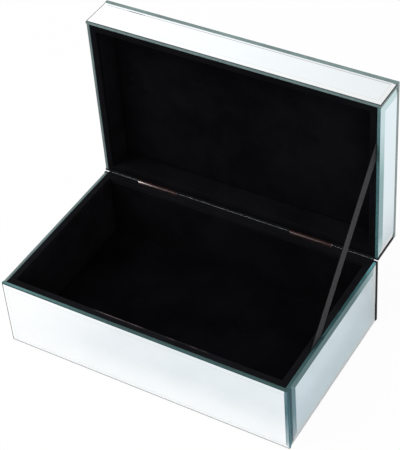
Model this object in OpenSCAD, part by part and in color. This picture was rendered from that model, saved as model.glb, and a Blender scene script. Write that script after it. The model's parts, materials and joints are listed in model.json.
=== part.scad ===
// Glass casket box: a keepsake box of bevelled mirror glass over a board carcass, lined in black
// velvet, with two butt hinges at the back and one ribbon that holds the lid upright.
// Millimetres. The origin is the centre of the footprint, on the table. +X is the box's right,
// +Y its back and +Z up. The lid is drawn shut and then turned about the hinge pins.

/* [Box] */
// Overall width, across the front mirror
box_w = 250; // [180:1:400]
// Overall depth, from the front mirror to the back panel
box_d = 150; // [120:1:260]
// Height of the base, from the table to its rim
base_h = 64; // [40:1:140]
// Height of the lid, from its rim to the top of its glass
lid_h = 32; // [28:0.5:80]
// Gap between the two rims when the lid is shut
rim_gap = 0.6; // [0.4:0.1:1.5]
// Angle between lid and base when the ribbon is taut
stop_angle = 90; // [80:1:100]

/* [Mirror glass] */
// Thickness of the front and side mirrors
side_glass_t = 3; // [2:0.5:5]
// Thickness of the top mirror
top_glass_t = 5; // [4:0.5:8]
// Width of the bevel round the side mirrors
side_bevel_w = 7; // [3:0.5:9]
// Width of the bevel round the front mirrors
front_bevel_w = 4.5; // [3:0.5:9]
// Width of the bevel round the top mirror
top_bevel_w = 12; // [5:0.5:20]
// Thickness that the bevel takes off the edge of the front and side mirrors
side_bevel_drop = 0.5; // [0.2:0.1:1]
// Thickness that the bevel takes off the edge of the top mirror
top_bevel_drop = 0.8; // [0.3:0.1:2]
// Thickness of the foam tape behind the mirrors
tape_t = 0.6; // [0.5:0.1:1.5]
// Width of a strip of foam tape
tape_w = 9; // [5:0.5:10]
// Distance from a strip of foam tape to the edge of its board
tape_margin = 3; // [2:0.5:4]

/* [Boards] */
// Thickness of the wall boards
wall_board_t = 4; // [3:0.5:8]
// Thickness of the bottom board
bottom_board_t = 4; // [3:0.5:8]
// Thickness of the board under the top mirror
lid_board_t = 3; // [2:0.5:5]
// Thickness of the black back panels
back_panel_t = 2; // [1.5:0.5:4]
// Thickness of the felt under the base
felt_t = 1; // [0.5:0.5:3]
// Distance from the felt to the edge of the bottom
felt_inset = 5; // [4:0.5:15]

/* [Lining] */
// Thickness of the velvet wall linings on their card
lining_t = 1; // [0.6:0.1:2]
// Thickness of the velvet over the rims
rim_velvet_t = 0.5; // [0.3:0.1:1]
// Thickness of the velvet pad on the floor of the base
floor_pad_t = 3; // [1:0.5:8]
// Thickness of the velvet pad inside the lid
lid_pad_t = 2.5; // [1:0.5:5]
// Gap round a pad
pad_gap = 0.2; // [0.1:0.1:1]

/* [Hinges] */
// Length of each hinge
hinge_len = 36; // [24:1:60]
// Distance of the left hinge's middle from the left side of the box
left_hinge_inset = 51; // [36:1:60]
// Distance of the right hinge's middle from the right side of the box
right_hinge_inset = 58; // [36:1:60]
// Distance of the hinge pins behind the back panel
hinge_out = 0.2; // [0:0.1:0.5]
// Number of knuckles in a hinge
knuckle_count = 5; // [3:2:7]
// Gap between two knuckles
knuckle_gap = 0.2; // [0.1:0.05:0.4]
// Thickness of a hinge leaf
leaf_t = 0.8; // [0.6:0.1:1.2]
// Board left uncut beside a hinge leaf
leaf_margin = 0.5; // [0.3:0.1:1.2]
// Radius of a hinge pin
pin_r = 0.75; // [0.5:0.05:0.9]
// Running clearance round a hinge pin
pin_clearance = 0.05; // [0.02:0.01:0.1]
// Clearance round a hinge where it is let into the box
hinge_clearance = 0.3; // [0.2:0.05:0.5]
// Distance between the two screws of a leaf
screw_pitch = 20; // [10:1:22]
// Radius of a hinge screw's shank
screw_r = 0.6; // [0.4:0.1:0.8]
// Radius of a hinge screw's head
screw_head_r = 1.1; // [0.9:0.1:1.3]
// Length of a hinge screw
screw_len = 8; // [5:0.5:12]
// Clearance round a hinge screw
screw_clearance = 0.05; // [0.02:0.01:0.1]

/* [Ribbon] */
// Width of the ribbon
ribbon_w = 10.5; // [6:0.5:14]
// Thickness of the ribbon
ribbon_t = 0.3; // [0.2:0.05:0.4]
// Distance from the hinge pins to where the ribbon enters the base's rim
ribbon_base_reach = 99.5; // [60:0.5:115]
// Distance from the hinge pins to where the ribbon enters the lid's rim
ribbon_lid_reach = 108; // [60:0.5:115]
// Length of ribbon hidden behind the glass at each end
ribbon_tab = 8; // [5:0.5:9]
// Clearance round the ribbon where it passes the rim velvet
ribbon_clearance = 0.3; // [0.1:0.1:1]

/* [Hidden] */

// Fineness of round parts
round_fn = 48;
// Overshoot of a cut past the face that it opens
cut = 1;

// Outline of the box, and the inner faces of its glass
front_y = -box_d / 2;
back_y = box_d / 2;
side_x = box_w / 2;
glass_in_x = side_x - side_glass_t;
glass_in_y = front_y + side_glass_t;

// Outer and inner faces of the wall boards
board_x = glass_in_x - tape_t;
board_front_y = glass_in_y + tape_t;
board_back_y = back_y - back_panel_t;
board_in_x = board_x - wall_board_t;
board_in_front_y = board_front_y + wall_board_t;
board_in_back_y = board_back_y - wall_board_t;

// Faces of the space inside the lining
lining_in_x = board_in_x - lining_t;
lining_in_front_y = board_in_front_y + lining_t;
lining_in_back_y = board_in_back_y - lining_t;

// Heights in the base
base_low_z = felt_t;
base_floor_z = base_low_z + bottom_board_t;
base_board_top_z = base_h - rim_velvet_t;

// Heights in the lid while it is shut
lid_rim_z = base_h + rim_gap;
lid_board_low_z = lid_rim_z + rim_velvet_t;
lid_glass_low_z = lid_rim_z + lid_h - top_glass_t;
lid_board_top_z = lid_glass_low_z - tape_t;
lid_ceiling_z = lid_board_top_z - lid_board_t;

// Hinge line, and the barrel that reaches from one sunk leaf to the other
hinge_y = back_y + hinge_out;
hinge_z = base_h + rim_gap / 2;
barrel_r = rim_gap / 2 + rim_velvet_t + leaf_t;
leaf_w = hinge_out + back_panel_t + wall_board_t - leaf_margin;
knuckle_pitch = hinge_len / knuckle_count;
knuckle_len = knuckle_pitch - knuckle_gap;
screw_y = -(hinge_out + back_panel_t + wall_board_t / 2);
screw_tip = 2 * screw_r;
screw_point_r = screw_r / 6;

// Ribbon: from the base rim to the lid rim, in the gap between the right mirror and its board
ribbon_x = glass_in_x - tape_t / 2;
ribbon_base_end = [-ribbon_base_reach, -rim_gap / 2];
ribbon_lid_end = opened([-ribbon_lid_reach, rim_gap / 2]);
ribbon_run = ribbon_lid_end - ribbon_base_end;
ribbon_slope = atan2(ribbon_run[1], ribbon_run[0]);
ribbon_lid_slope = 180 - stop_angle - ribbon_slope;
ribbon_depth = ribbon_tab * sin(ribbon_slope) + ribbon_w / 2 * cos(ribbon_slope);

// A point [y, z] of the shut lid, measured from the hinge line, after the lid is opened
function opened(p) = [
    p[0] * cos(stop_angle) + p[1] * sin(stop_angle),
    p[1] * cos(stop_angle) - p[0] * sin(stop_angle)
];

// Cross-section of a plate along one of its axes: flat at the back, bevelled at either end
function bevel_section(l, t, drop, start_w, end_w) = concat(
    [[-l / 2, 0], [l / 2, 0]],
    end_w > 0 ? [[l / 2, t - drop], [l / 2 - end_w, t]] : [[l / 2, t]],
    start_w > 0 ? [[-l / 2 + start_w, t], [-l / 2, t - drop]] : [[-l / 2, t]]
);

// A plate in the XY plane, bevelled on its +Z face: ends_w along both X ends, low_w and high_w
// along its -Y and +Y edges
module bevelled_plate(w, h, t, drop, ends_w, low_w, high_w) {
    intersection() {
        translate([0, h / 2, 0])
            rotate([90, 0, 0])
                linear_extrude(h) polygon(bevel_section(w, t, drop, ends_w, ends_w));
        translate([-w / 2, 0, 0])
            rotate([90, 0, 90])
                linear_extrude(w) polygon(bevel_section(h, t, drop, low_w, high_w));
    }
}

// A box between two corners
module block(low, high) {
    translate(low) cube(high - low);
}

// Turns what is drawn on the shut lid about the hinge line to where the ribbon stops it
module on_open_lid() {
    translate([0, hinge_y, hinge_z])
        rotate([-stop_angle, 0, 0])
            translate([0, -hinge_y, -hinge_z]) children();
}

// Places of the two hinges along the hinge line
module at_left_hinge() {
    translate([left_hinge_inset - side_x, hinge_y, hinge_z]) children();
}
module at_right_hinge() {
    translate([side_x - right_hinge_inset, hinge_y, hinge_z]) children();
}
module at_hinges() {
    at_left_hinge() children();
    at_right_hinge() children();
}

// Walls, with low and high for the heights they run between

module front_board(low, high) {
    color("burlywood")
        block([-board_x, board_front_y, low], [board_x, board_in_front_y, high]);
}

module side_board(side, low, high) {
    color("burlywood")
        translate([side * (board_x + board_in_x) / 2, 0, 0])
            block([-wall_board_t / 2, board_in_front_y, low],
                  [wall_board_t / 2, board_in_back_y, high]);
}

// up is 1 where the hinge leaf lies on top of the board, and -1 where it lies below
module back_board(low, high, up) {
    color("burlywood") difference() {
        block([-board_x, board_in_back_y, low], [board_x, board_back_y, high]);
        at_hinges() {
            leaf_mortise(up);
            at_screws() screw_hole(up);
        }
    }
}

module front_mirror(low, high, low_bevel_w, high_bevel_w) {
    color("lightsteelblue")
        translate([0, glass_in_y, (low + high) / 2])
            rotate([90, 0, 0])
                bevelled_plate(box_w, high - low, side_glass_t, side_bevel_drop,
                               front_bevel_w, low_bevel_w, high_bevel_w);
}

module side_mirror(side, low, high, low_bevel_w, high_bevel_w) {
    color("lightsteelblue")
        translate([side * glass_in_x, (glass_in_y + board_back_y) / 2, (low + high) / 2])
            rotate([90, 0, side * 90])
                bevelled_plate(board_back_y - glass_in_y, high - low, side_glass_t,
                               side_bevel_drop, side_bevel_w, low_bevel_w, high_bevel_w);
}

module back_panel(low, high) {
    color("#202224") difference() {
        block([-side_x, board_back_y, low], [side_x, back_y, high]);
        at_hinges() barrel_notch();
    }
}

// Foam tape behind the front and side mirrors, in one strip from low to high
module wall_tape(low, high) {
    color("white") {
        block([-board_x + tape_margin, glass_in_y, low],
              [board_x - tape_margin, board_front_y, high]);
        for (side = [-1, 1])
            translate([side * (glass_in_x + board_x) / 2, 0, 0])
                block([-tape_t / 2, board_in_front_y, low],
                      [tape_t / 2, board_back_y - tape_margin, high]);
    }
}

module front_lining(low, high) {
    color("#18181b")
        block([-board_in_x, board_in_front_y, low], [board_in_x, lining_in_front_y, high]);
}

module back_lining(low, high) {
    color("#18181b")
        block([-board_in_x, lining_in_back_y, low], [board_in_x, board_in_back_y, high]);
}

module side_lining(side, low, high) {
    color("#18181b")
        translate([side * (board_in_x + lining_in_x) / 2, 0, 0])
            block([-lining_t / 2, lining_in_front_y, low],
                  [lining_t / 2, lining_in_back_y, high]);
}

module velvet_pad(low, high) {
    color("#101013")
        block([-lining_in_x + pad_gap, lining_in_front_y + pad_gap, low],
              [lining_in_x - pad_gap, lining_in_back_y - pad_gap, high]);
}

// Velvet over the top of the walls, from the glass to the lining, with a slot for the ribbon,
// which crosses the rim at the angle slope
module rim_velvet(low, ribbon_reach, slope) {
    high = low + rim_velvet_t;
    slot_l = ribbon_w / sin(slope) + 2 * ribbon_clearance;
    color("#1e1e22") difference() {
        block([-glass_in_x, glass_in_y, low], [glass_in_x, board_back_y, high]);
        block([-lining_in_x, lining_in_front_y, low - cut],
              [lining_in_x, lining_in_back_y, high + cut]);
        translate([0, hinge_y - ribbon_reach, 0])
            block([board_x, -slot_l / 2, low - cut],
                  [glass_in_x + cut, slot_l / 2, high + cut]);
    }
}

// Hinges, drawn about their own pin: X runs along the pin. up is -1 for the leaf on the base
// and 1 for the leaf on the lid

module leaf_plate(x_low, x_high, y_high, up) {
    translate([0, 0, up * (barrel_r - leaf_t / 2)])
        block([x_low, -leaf_w, -leaf_t / 2], [x_high, y_high, leaf_t / 2]);
}

module along_pin(x_low, l, r) {
    translate([x_low, 0, 0])
        rotate([0, 90, 0]) cylinder(h = l, r = r, $fn = round_fn);
}

module at_screws() {
    for (x = [-screw_pitch / 2, screw_pitch / 2])
        translate([x, screw_y, 0]) children();
}

// Points the +Z axis of what is drawn out of the leaf's open face, from the barrel's middle
module facing(up) {
    rotate([up < 0 ? 0 : 180, 0, 0]) children();
}

module hinge_leaf(up) {
    first = up < 0 ? 0 : 1;
    color("#b8714d") difference() {
        union() {
            leaf_plate(-hinge_len / 2, hinge_len / 2, -barrel_r - knuckle_gap, up);
            for (i = [first : 2 : knuckle_count - 1]) {
                x = -hinge_len / 2 + i * knuckle_pitch + knuckle_gap / 2;
                leaf_plate(x, x + knuckle_len, 0, up);
                along_pin(x, knuckle_len, barrel_r);
            }
        }
        along_pin(-hinge_len / 2 - cut, hinge_len + 2 * cut, pin_r + pin_clearance);
        at_screws() facing(up) countersink();
    }
}

module hinge_pin() {
    color("#8f5a3c")
        along_pin(-(hinge_len - knuckle_gap) / 2, hinge_len - knuckle_gap, pin_r);
}

// A countersunk screw whose head lies flush with the open face of the leaf
module hinge_screw() {
    head_z = leaf_t - barrel_r;
    tip_z = head_z - screw_len;
    color("#c98a63")
        rotate_extrude($fn = round_fn)
            polygon([[0, tip_z], [screw_point_r, tip_z], [screw_r, tip_z + screw_tip],
                     [screw_r, head_z - leaf_t], [screw_head_r, head_z], [0, head_z]]);
}

// What a hinge and its screws need cut out of the leaves and the box

module countersink() {
    low_r = screw_r + screw_clearance;
    high_r = screw_head_r + screw_clearance;
    head_z = leaf_t - barrel_r;
    rotate_extrude($fn = round_fn)
        polygon([[0, head_z - leaf_t - cut], [low_r, head_z - leaf_t - cut],
                 [low_r, head_z - leaf_t], [high_r, head_z], [high_r, head_z + cut],
                 [0, head_z + cut]]);
}

module screw_hole(up) {
    facing(-up)
        translate([0, 0, -barrel_r - screw_len])
            cylinder(h = screw_len + cut, r = screw_r + screw_clearance, $fn = round_fn);
}

module leaf_mortise(up) {
    l = hinge_len / 2 + screw_clearance;
    translate([0, 0, -up * (barrel_r - leaf_t / 2)])
        block([-l, -leaf_w - screw_clearance, -leaf_t / 2 - (up < 0 ? cut : 0)],
              [l, 0, leaf_t / 2 + (up < 0 ? 0 : cut)]);
}

module barrel_notch() {
    l = hinge_len / 2 + hinge_clearance;
    r = barrel_r + hinge_clearance;
    block([-l, -hinge_out - back_panel_t - cut, -r], [l, cut, r]);
}

// Base

module base_bottom_board() {
    color("burlywood")
        block([-board_x, board_front_y, base_low_z], [board_x, board_back_y, base_floor_z]);
}
module base_front_board() {
    front_board(base_floor_z, base_board_top_z);
}
module base_back_board() {
    back_board(base_floor_z, base_board_top_z, 1);
}
module base_left_board() {
    side_board(-1, base_floor_z, base_board_top_z);
}
module base_right_board() {
    side_board(1, base_floor_z, base_board_top_z);
}
module base_front_mirror() {
    front_mirror(base_low_z, base_h, front_bevel_w, front_bevel_w);
}
module base_left_mirror() {
    side_mirror(-1, base_low_z, base_h, side_bevel_w, side_bevel_w);
}
module base_right_mirror() {
    side_mirror(1, base_low_z, base_h, side_bevel_w, side_bevel_w);
}
module base_back_panel() {
    back_panel(base_low_z, base_h);
}
module base_mirror_tape() {
    upper_z = base_h - ribbon_depth - tape_margin;
    wall_tape(base_low_z + tape_margin, base_low_z + tape_margin + tape_w);
    wall_tape(upper_z - tape_w, upper_z);
}
module base_front_lining() {
    front_lining(base_floor_z, base_board_top_z);
}
module base_back_lining() {
    back_lining(base_floor_z, base_board_top_z);
}
module base_left_lining() {
    side_lining(-1, base_floor_z, base_board_top_z);
}
module base_right_lining() {
    side_lining(1, base_floor_z, base_board_top_z);
}
module base_floor_pad() {
    velvet_pad(base_floor_z, base_floor_z + floor_pad_t);
}
module base_rim_velvet() {
    rim_velvet(base_board_top_z, ribbon_base_reach, ribbon_slope);
}
module base_felt() {
    color("#26262a")
        block([felt_inset - side_x, front_y + felt_inset, 0],
              [side_x - felt_inset, back_y - felt_inset, base_low_z]);
}
module left_hinge_base_leaf() {
    at_left_hinge() hinge_leaf(-1);
}
module right_hinge_base_leaf() {
    at_right_hinge() hinge_leaf(-1);
}
module left_hinge_pin() {
    at_left_hinge() hinge_pin();
}
module right_hinge_pin() {
    at_right_hinge() hinge_pin();
}
module base_hinge_screws() {
    at_hinges() at_screws() facing(-1) hinge_screw();
}

// A flat strip from behind the base's right mirror to behind the lid's
module ribbon_stay() {
    color("#46464a")
        translate([ribbon_x, hinge_y + ribbon_base_end[0], hinge_z + ribbon_base_end[1]])
            rotate([ribbon_slope, 0, 0])
                block([-ribbon_t / 2, -ribbon_tab, -ribbon_w / 2],
                      [ribbon_t / 2, norm(ribbon_run) + ribbon_tab, ribbon_w / 2]);
}

// Lid

module lid_top_board() {
    color("burlywood") on_open_lid()
        block([-board_x, board_front_y, lid_ceiling_z], [board_x, board_back_y, lid_board_top_z]);
}
module lid_front_board() {
    on_open_lid() front_board(lid_board_low_z, lid_ceiling_z);
}
module lid_back_board() {
    on_open_lid() back_board(lid_board_low_z, lid_ceiling_z, -1);
}
module lid_left_board() {
    on_open_lid() side_board(-1, lid_board_low_z, lid_ceiling_z);
}
module lid_right_board() {
    on_open_lid() side_board(1, lid_board_low_z, lid_ceiling_z);
}
module lid_top_mirror() {
    color("lightsteelblue") on_open_lid()
        translate([0, 0, lid_glass_low_z])
            bevelled_plate(box_w, box_d, top_glass_t, top_bevel_drop,
                           top_bevel_w, top_bevel_w, top_bevel_w);
}
module lid_front_mirror() {
    on_open_lid() front_mirror(lid_rim_z, lid_glass_low_z, front_bevel_w, 0);
}
module lid_left_mirror() {
    on_open_lid() side_mirror(-1, lid_rim_z, lid_glass_low_z, side_bevel_w, 0);
}
module lid_right_mirror() {
    on_open_lid() side_mirror(1, lid_rim_z, lid_glass_low_z, side_bevel_w, 0);
}
module lid_back_panel() {
    on_open_lid() back_panel(lid_rim_z, lid_glass_low_z);
}
module lid_mirror_tape() {
    upper_z = lid_board_top_z - tape_margin / 2;
    strip_x = board_x - tape_margin;
    on_open_lid() {
        wall_tape(upper_z - tape_w, upper_z);
        color("white")
            for (y = [board_front_y + tape_margin, board_back_y - tape_margin - tape_w])
                block([-strip_x, y, lid_board_top_z], [strip_x, y + tape_w, lid_glass_low_z]);
    }
}
module lid_front_lining() {
    on_open_lid() front_lining(lid_board_low_z, lid_ceiling_z);
}
module lid_back_lining() {
    on_open_lid() back_lining(lid_board_low_z, lid_ceiling_z);
}
module lid_left_lining() {
    on_open_lid() side_lining(-1, lid_board_low_z, lid_ceiling_z);
}
module lid_right_lining() {
    on_open_lid() side_lining(1, lid_board_low_z, lid_ceiling_z);
}
module lid_pad() {
    on_open_lid() velvet_pad(lid_ceiling_z - lid_pad_t, lid_ceiling_z);
}
module lid_rim_velvet() {
    on_open_lid() rim_velvet(lid_rim_z, ribbon_lid_reach, ribbon_lid_slope);
}
module left_hinge_lid_leaf() {
    on_open_lid() at_left_hinge() hinge_leaf(1);
}
module right_hinge_lid_leaf() {
    on_open_lid() at_right_hinge() hinge_leaf(1);
}
module lid_hinge_screws() {
    on_open_lid() at_hinges() at_screws() facing(1) hinge_screw();
}

base_bottom_board();
base_front_board();
base_back_board();
base_left_board();
base_right_board();
base_front_mirror();
base_left_mirror();
base_right_mirror();
base_back_panel();
base_mirror_tape();
base_front_lining();
base_back_lining();
base_left_lining();
base_right_lining();
base_floor_pad();
base_rim_velvet();
base_felt();
left_hinge_base_leaf();
right_hinge_base_leaf();
left_hinge_pin();
right_hinge_pin();
base_hinge_screws();
ribbon_stay();
lid_top_board();
lid_front_board();
lid_back_board();
lid_left_board();
lid_right_board();
lid_top_mirror();
lid_front_mirror();
lid_left_mirror();
lid_right_mirror();
lid_back_panel();
lid_mirror_tape();
lid_front_lining();
lid_back_lining();
lid_left_lining();
lid_right_lining();
lid_pad();
lid_rim_velvet();
left_hinge_lid_leaf();
right_hinge_lid_leaf();
lid_hinge_screws();
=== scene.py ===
"""Glass casket box: mirror glass, velvet lining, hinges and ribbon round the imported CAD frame."""
import json
import math

import bmesh
import bpy
from mathutils import Matrix, Vector, noise


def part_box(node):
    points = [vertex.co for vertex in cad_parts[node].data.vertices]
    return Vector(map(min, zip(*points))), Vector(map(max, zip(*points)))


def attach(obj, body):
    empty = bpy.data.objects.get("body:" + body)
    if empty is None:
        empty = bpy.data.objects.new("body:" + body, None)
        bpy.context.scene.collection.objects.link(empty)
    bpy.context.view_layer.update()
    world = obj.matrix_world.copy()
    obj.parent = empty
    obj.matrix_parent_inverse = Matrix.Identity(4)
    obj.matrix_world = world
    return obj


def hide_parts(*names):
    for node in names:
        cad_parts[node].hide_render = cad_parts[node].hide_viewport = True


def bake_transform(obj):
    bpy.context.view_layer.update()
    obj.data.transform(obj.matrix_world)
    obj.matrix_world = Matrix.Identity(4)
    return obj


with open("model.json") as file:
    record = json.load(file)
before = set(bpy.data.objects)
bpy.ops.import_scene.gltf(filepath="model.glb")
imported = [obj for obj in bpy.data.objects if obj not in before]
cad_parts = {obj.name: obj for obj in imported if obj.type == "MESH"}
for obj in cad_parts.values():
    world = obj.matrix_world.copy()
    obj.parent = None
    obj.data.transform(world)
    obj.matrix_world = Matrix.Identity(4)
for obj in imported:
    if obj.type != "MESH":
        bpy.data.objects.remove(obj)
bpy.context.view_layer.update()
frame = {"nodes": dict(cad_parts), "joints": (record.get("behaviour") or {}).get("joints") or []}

MM = 0.001

# ---------------------------------------------------------------- camera

CAMERA_AT = (0.47963, -0.70583, 0.87424)
# How far the camera is rolled, tipped up from looking straight down, and turned to the left
CAMERA_ROLL_DEG = -4.925
CAMERA_TIP_DEG = 48.215
CAMERA_TURN_DEG = 33.411
CAMERA_FOCAL_PX = 1524.3
IMAGE_LONG_SIDE_PX = 450
SENSOR_MM = 36.0

camera_data = bpy.data.cameras.new("camera")
camera_data.sensor_width = SENSOR_MM
camera_data.lens = CAMERA_FOCAL_PX * SENSOR_MM / IMAGE_LONG_SIDE_PX
camera_data.clip_start, camera_data.clip_end = 0.05, 20.0
camera = bpy.data.objects.new("camera", camera_data)
camera.matrix_world = (
    Matrix.Translation(CAMERA_AT)
    @ Matrix.Rotation(math.radians(CAMERA_TURN_DEG), 4, "Z")
    @ Matrix.Rotation(math.radians(CAMERA_TIP_DEG), 4, "X")
    @ Matrix.Rotation(math.radians(CAMERA_ROLL_DEG), 4, "Z")
)
bpy.context.scene.collection.objects.link(camera)
bpy.context.scene.camera = camera
bpy.context.scene.view_settings.view_transform = "Standard"

# ---------------------------------------------------------------- sizes and places, in metres

# The line of the hinge pins
_, HINGE_Y, HINGE_Z = frame["joints"][0]["pos_m"]

# The faces of the base's glass and black panel, and its rim
BOX_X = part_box("base_front_mirror")[1].x
BASE_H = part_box("base_front_mirror")[1].z
BACK_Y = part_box("base_back_panel")[1].y
GLASS_IN_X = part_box("base_right_mirror")[0].x
GLASS_IN_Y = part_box("base_front_mirror")[1].y
BOARD_BACK_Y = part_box("base_back_panel")[0].y
RIM_GAP = 2 * (HINGE_Z - BASE_H)  # the pins lie midway between the shut rims

# The open faces of the base's wall linings
LINING_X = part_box("base_right_lining")[0].x
LINING_FRONT_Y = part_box("base_front_lining")[1].y
LINING_BACK_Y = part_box("base_back_lining")[0].y

HINGES = [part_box(side + "_hinge_base_leaf") for side in ("left", "right")]
BARREL_R = HINGES[0][1].z - HINGE_Z

# The painted highlight line on the hinge barrels: its angle from the back, up and over to the
# front, half its width and how uneven it is
HIGHLIGHT_DEG = 148
HIGHLIGHT_HALF_DEG = 13
HIGHLIGHT_UNEVEN = 0.1 * MM

# How far from the pins the ribbon comes out, forwards on the base and up the open lid
RIBBON_BASE_REACH = 99.5 * MM
RIBBON_LID_REACH = 108 * MM
RIBBON_W = 10.5 * MM
RIBBON_TAB = 8 * MM  # tucked behind the glass at each end
ribbon_low, ribbon_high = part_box("ribbon_stay")
RIBBON_X = (ribbon_low.x + ribbon_high.x) / 2
RIBBON_T = ribbon_high.x - ribbon_low.x
RIBBON_RIBS = 300  # along its whole length
RIBBON_WARPS = 34  # threads across its width

# From the shut lid, in which its pieces are described, to the open lid at rest
TO_OPEN = (
    Matrix.Translation((0, HINGE_Y, HINGE_Z))
    @ Matrix.Rotation(math.radians(-90), 4, "X")
    @ Matrix.Translation((0, -HINGE_Y, -HINGE_Z))
)


# ---------------------------------------------------------------- material tools


class Nodes:
    """A material's node tree with short calls for what the materials here share."""

    def __init__(self, name):
        self.mat = bpy.data.materials.new(name)
        self.mat.use_nodes = True
        self.tree = self.mat.node_tree
        self.shader = self.tree.nodes["Principled BSDF"]
        self.out = self.tree.nodes["Material Output"]
        self.coord = self.tree.nodes.new("ShaderNodeTexCoord")

    def node(self, kind, **settings):
        n = self.tree.nodes.new("ShaderNode" + kind)
        for key, value in settings.items():
            setattr(n, key, value)
        return n

    def link(self, a, b):
        self.tree.links.new(a, b)

    def set(self, **values):
        for key, value in values.items():
            self.shader.inputs[key.replace("_", " ")].default_value = value

    def axes(self, source="Object"):
        """The coordinates of a point, as sockets named X, Y and Z."""
        split = self.node("SeparateXYZ")
        self.link(self.coord.outputs[source], split.inputs["Vector"])
        return split.outputs

    def mapped(self, scale):
        m = self.node("Mapping")
        m.inputs["Scale"].default_value = scale
        self.link(self.coord.outputs["Object"], m.inputs["Vector"])
        return m.outputs["Vector"]

    def noise(self, scale, detail, rough, stretch=(1, 1, 1)):
        t = self.node("TexNoise")
        t.inputs["Scale"].default_value = scale
        t.inputs["Detail"].default_value = detail
        t.inputs["Roughness"].default_value = rough
        self.link(self.mapped(stretch), t.inputs["Vector"])
        return t.outputs["Fac"]

    def ramp(self, value, stops):
        """Colours, or greys as plain numbers, at their places between 0 and 1."""
        r = self.node("ValToRGB")
        elements = r.color_ramp.elements
        elements[0].position, elements[1].position = stops[0][0], stops[-1][0]
        for at, _ in stops[1:-1]:
            elements.new(at)
        for e, (_, colour) in zip(elements, stops):
            e.color = (*colour, 1) if hasattr(colour, "__len__") else (colour,) * 3 + (1,)
        self.link(value, r.inputs["Fac"])
        return r.outputs["Color"]

    def math(self, kind, a, b=None, clamp=False):
        m = self.node("Math", operation=kind, use_clamp=clamp)
        for socket, value in zip(m.inputs, (a, b)):
            if value is None:
                continue
            if isinstance(value, (int, float)):
                socket.default_value = value
            else:
                self.link(value, socket)
        return m.outputs["Value"]

    def plus(self, a, b):
        return self.math("ADD", a, b)

    def minus(self, a, b):
        return self.math("SUBTRACT", a, b)

    def times(self, a, b):
        return self.math("MULTIPLY", a, b)

    def larger(self, a, b):
        return self.math("MAXIMUM", a, b)

    def fade(self, value, start, end):
        """0 before start and 1 after end, with a smooth change between them."""
        m = self.node("MapRange", interpolation_type="SMOOTHSTEP")
        self.link(value, m.inputs["Value"])
        m.inputs["From Min"].default_value = start
        m.inputs["From Max"].default_value = end
        return m.outputs["Result"]

    def mix(self, fac, a, b, kind="MIX"):
        """A colour between a and b; each may be a socket or a constant."""
        m = self.node("Mix", data_type="RGBA", blend_type=kind)
        for socket, value in ((m.inputs["Factor"], fac), (m.inputs[6], a), (m.inputs[7], b)):
            if isinstance(value, (int, float)):
                socket.default_value = value
            elif hasattr(value, "__len__"):
                socket.default_value = (*value, 1)
            else:
                self.link(value, socket)
        return m.outputs[2]

    def product(self, a, b):
        """Two colours multiplied."""
        return self.mix(1.0, a, b, "MULTIPLY")

    def bump(self, height, strength, distance, normal=None):
        b = self.node("Bump")
        b.inputs["Strength"].default_value = strength
        b.inputs["Distance"].default_value = distance
        self.link(height, b.inputs["Height"])
        if normal is not None:
            self.link(normal, b.inputs["Normal"])
        return b.outputs["Normal"]

    def graded(self, axis, stops, wobble, scale, stretch=(1, 1, 1)):
        """Colours along an object axis, which noise of the scale and stretch shifts by the wobble.

        stops are positions in metres with the colour there."""
        shift = self.minus(self.noise(scale, 3, 0.6, stretch), 0.5)
        at = self.plus(self.axes()[axis], self.times(shift, wobble))
        low, high = stops[0][0], stops[-1][0]
        share = self.math("DIVIDE", self.minus(at, low), high - low, clamp=True)
        return self.ramp(share, [((x - low) / (high - low), colour) for x, colour in stops])

    def use(self, socket, output):
        self.link(output, self.shader.inputs[socket])


def scaled(colour, k):
    """A colour k times as bright."""
    return tuple(min(1.0, c * k) for c in colour)


def mirror_material(name, tint, rough=0.03, wave=0.05):
    """Silvered glass: a metal tinted by the glass, faintly wavy, with faint smears; dark tints are
    painted shade.
    """
    n = Nodes(name)
    n.set(Metallic=1.0, IOR=1.5)
    smear = n.noise(38, 5, 0.6)
    n.use("Base Color", n.ramp(smear, [(0.3, scaled(tint, 0.975)), (0.7, tint)]))
    n.use("Roughness", n.ramp(n.noise(22, 6, 0.65), [(0.35, rough), (0.75, rough * 2.2)]))
    n.use("Normal", n.bump(n.noise(9, 1, 0.4), wave, 0.004))
    return n.mat


def graded_mirror(name, axis, stops, rough=0.04, streaks=None, aslant=(1, 1, 1)):
    """Silvered glass whose tint changes along an axis as painted reflection and shade, such as the
    dark bevels at a corner.

    streaks is the stretch of the fine streaks along it, and aslant is its tint seen edge on."""
    n = Nodes(name)
    n.set(Metallic=1.0, Roughness=rough, Specular_Tint=(*aslant, 1))
    tint = n.graded(axis, stops, 0.006, 150, (1, 1, 0.25))
    if streaks:
        streak = n.noise(900, 4, 0.6, streaks)
        tint = n.product(tint, n.ramp(streak, [(0.36, 0.66), (0.64, 1.0)]))
        n.use("Normal", n.bump(streak, 0.08, 0.0003))
    n.use("Base Color", tint)
    return n.mat


def edge_material(name, colour, rough=0.3, gloss=0.3, axis=None, stops=None):
    """Ground glass edge: deep green glass under fine grinding marks.

    stops are positions along the axis in metres, with how much lighter the edge is painted there,
    as painted light and shade."""
    n = Nodes(name)
    n.set(IOR=1.5, Specular_IOR_Level=2 * gloss, Coat_Weight=gloss, Coat_Roughness=0.12)
    marks = n.noise(240, 6, 0.7)
    body = n.noise(30, 3, 0.5)
    both = n.plus(n.times(marks, 0.45), n.times(body, 0.55))
    dark_at, light_at = 0.34, 0.66
    darkest, lightest = 0.72, 1.3
    if axis:
        glass = n.graded(axis, [(at, scaled(colour, k)) for at, k in stops], 0.008, 60)
        shown = n.product(glass, n.ramp(both, [(dark_at, darkest), (light_at, 1.0)]))
    else:
        dark, light = scaled(colour, darkest), scaled(colour, lightest)
        shown = n.ramp(both, [(dark_at, dark), (light_at, light)])
    n.use("Base Color", shown)
    n.use("Roughness", n.ramp(marks, [(0.3, rough * 0.7), (0.7, rough * 1.3)]))
    n.use("Normal", n.bump(marks, 0.15, 0.0002))
    return n.mat


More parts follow.
